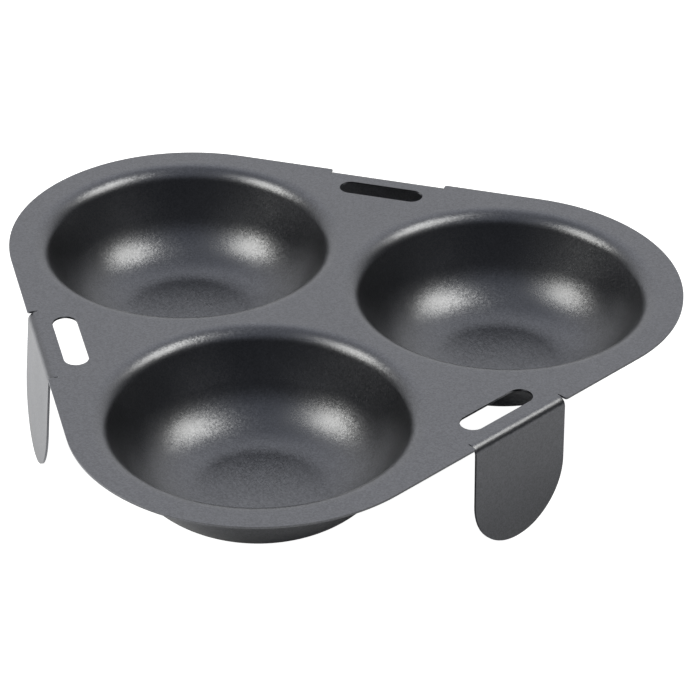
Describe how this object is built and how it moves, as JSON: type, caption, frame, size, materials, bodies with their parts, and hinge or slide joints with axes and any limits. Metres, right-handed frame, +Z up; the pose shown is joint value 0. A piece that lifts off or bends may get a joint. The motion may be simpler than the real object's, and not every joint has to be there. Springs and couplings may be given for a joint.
{
  "type": "egg poacher pan",
  "caption": "Poaching insert: rounded-triangle deck of coated sheet steel with drawn round egg cups, finger slots and bent-down round-ended legs.",
  "frame": {"origin": "on the deck's threefold axis, level with the tips of the legs, so on the surface it stands on", "axes": "+Z up, out of the cups' mouths; -Y towards the front cup, +Y towards the back leg; +X to the right as seen from the front"},
  "size_m": [0.1864, 0.176, 0.034],
  "materials": {
    "non_stick_coated_steel": "dark grey non-stick coating, satin, with a fine metallic fleck"
  },
  "bodies": {
    "root": {"deck": "non_stick_coated_steel", "cup_front": "non_stick_coated_steel", "cup_left": "non_stick_coated_steel", "cup_right": "non_stick_coated_steel", "leg_back": "non_stick_coated_steel", "leg_left": "non_stick_coated_steel", "leg_right": "non_stick_coated_steel"}
  },
  "joints": []
}
